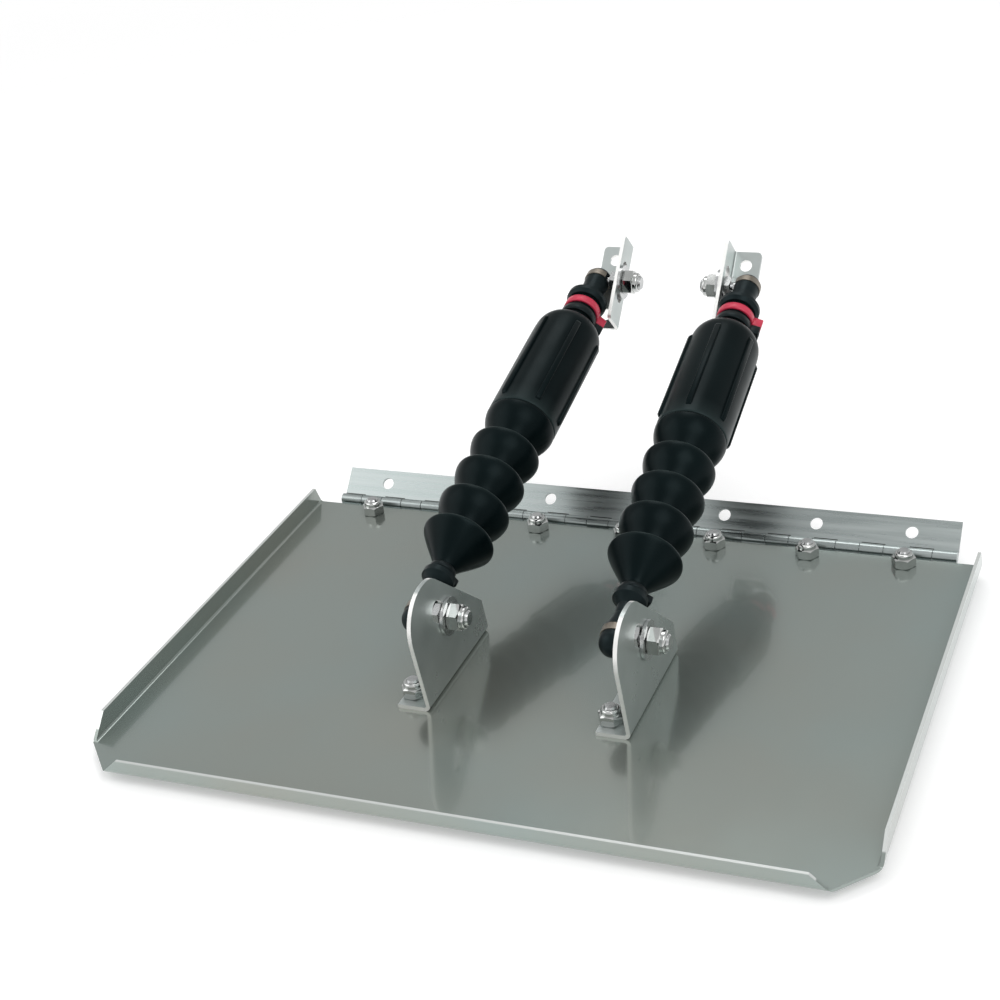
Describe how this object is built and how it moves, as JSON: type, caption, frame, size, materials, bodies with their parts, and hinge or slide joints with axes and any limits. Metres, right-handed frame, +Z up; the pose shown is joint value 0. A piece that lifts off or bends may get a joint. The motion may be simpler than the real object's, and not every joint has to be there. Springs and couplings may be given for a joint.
{
  "type": "boat trim tab",
  "caption": "Stainless boat trim tab: folded tray on a piano hinge, held down by gas-spring actuators in ribbed rubber bellows boots with ball studs, slotted brackets and lock nuts.",
  "frame": {"origin": "centre screw hole of the hinge's fixed leaf, on the transom face", "axes": "+X along the hinge, to the right seen from aft; -Y aft along the tray; +Z up, square to the tray; the transom face leans 46 degrees forward of +Z at full droop"},
  "size_m": [0.3828, 0.3947, 0.1332],
  "materials": {
    "plate_steel": "satin",
    "hinge_steel": "brushed",
    "bracket_steel": "polished",
    "nut_steel": "polished",
    "bolt_steel": "polished",
    "boot_rubber": "satin",
    "socket_plastic": "satin",
    "red_nylon": "satin",
    "black_nylon": "satin",
    "clip_metal": "satin",
    "rod_chrome": "polished",
    "cylinder_paint": "satin",
    "seal_rubber": "matt",
    "inner_plastic": "matt"
  },
  "bodies": {
    "transom_side": {"fixed_leaf": "hinge_steel", "hinge_pin": "hinge_steel", "upper_bracket_left": "bracket_steel", "upper_bracket_right": "bracket_steel", "upper_studs": "bolt_steel", "upper_washers": "bolt_steel", "upper_nuts": "nut_steel"},
    "tab": {"tab_plate": "plate_steel", "moving_leaf": "hinge_steel", "hinge_bolts": "bolt_steel", "hinge_nuts": "nut_steel", "lower_bracket_left": "bracket_steel", "lower_bracket_right": "bracket_steel", "foot_bolts": "bolt_steel", "foot_nuts": "nut_steel"},
    "cylinder_left": {"upper_socket_left": "socket_plastic", "upper_clip_left": "clip_metal", "gas_cylinder_left": "cylinder_paint", "rod_guide_left": "inner_plastic", "rod_seal_left": "seal_rubber", "boot_sleeve_left": "boot_rubber", "black_tie_left": "black_nylon", "red_tie_left": "red_nylon"},
    "rod_left": {"piston_rod_left": "rod_chrome", "piston_left": "inner_plastic", "lower_socket_left": "socket_plastic", "lower_clip_left": "clip_metal", "lower_tie_left": "black_nylon", "boot_bellows_left": "boot_rubber", "lower_stud_left": "bolt_steel", "lower_washer_left": "bolt_steel", "lower_nut_left": "nut_steel"},
    "cylinder_right": {"upper_socket_right": "socket_plastic", "upper_clip_right": "clip_metal", "gas_cylinder_right": "cylinder_paint", "rod_guide_right": "inner_plastic", "rod_seal_right": "seal_rubber", "boot_sleeve_right": "boot_rubber", "black_tie_right": "black_nylon", "red_tie_right": "red_nylon"},
    "rod_right": {"piston_rod_right": "rod_chrome", "piston_right": "inner_plastic", "lower_socket_right": "socket_plastic", "lower_clip_right": "clip_metal", "lower_tie_right": "black_nylon", "boot_bellows_right": "boot_rubber", "lower_stud_right": "bolt_steel", "lower_washer_right": "bolt_steel", "lower_nut_right": "nut_steel"}
  },
  "joints": [
    {"name": "tab_hinge", "type": "hinge", "parent": "transom_side", "child": "tab", "pos_m": [0, -0.01082, -0.00607], "axis": [-1, 0, 0], "range_deg": [0, 20]},
    {"name": "left_upper_pivot", "type": "hinge", "parent": "transom_side", "child": "cylinder_left", "pos_m": [-0.044, 0.08622, 0.09786], "axis": [-0.9998, 0.0056, -0.021], "range_deg": [0, 10.9]},
    {"name": "left_rod_slide", "type": "slide", "parent": "cylinder_left", "child": "rod_left", "axis": [0.0338, 0.9653, 0.2589], "range_m": [0, 0.0297], "stiffness_N_per_m": 300, "springref_m": -0.1, "deforming": ["boot_bellows_left"]},
    {"name": "right_upper_pivot", "type": "hinge", "parent": "transom_side", "child": "cylinder_right", "pos_m": [0.0443, 0.08622, 0.09786], "axis": [-1, -0.0023, 0.0087], "range_deg": [0, 10.9]},
    {"name": "right_rod_slide", "type": "slide", "parent": "cylinder_right", "child": "rod_right", "axis": [-0.0139, 0.9658, 0.259], "range_m": [0, 0.0297], "stiffness_N_per_m": 300, "springref_m": -0.1, "deforming": ["boot_bellows_right"]}
  ],
  "couplings": [
    {"joint": "left_upper_pivot", "follows": "tab_hinge", "ratio": 0.54177},
    {"joint": "left_rod_slide", "follows": "tab_hinge", "m_per_rad": 0.084826},
    {"joint": "right_upper_pivot", "follows": "tab_hinge", "ratio": 0.54161},
    {"joint": "right_rod_slide", "follows": "tab_hinge", "m_per_rad": 0.084881}
  ]
}
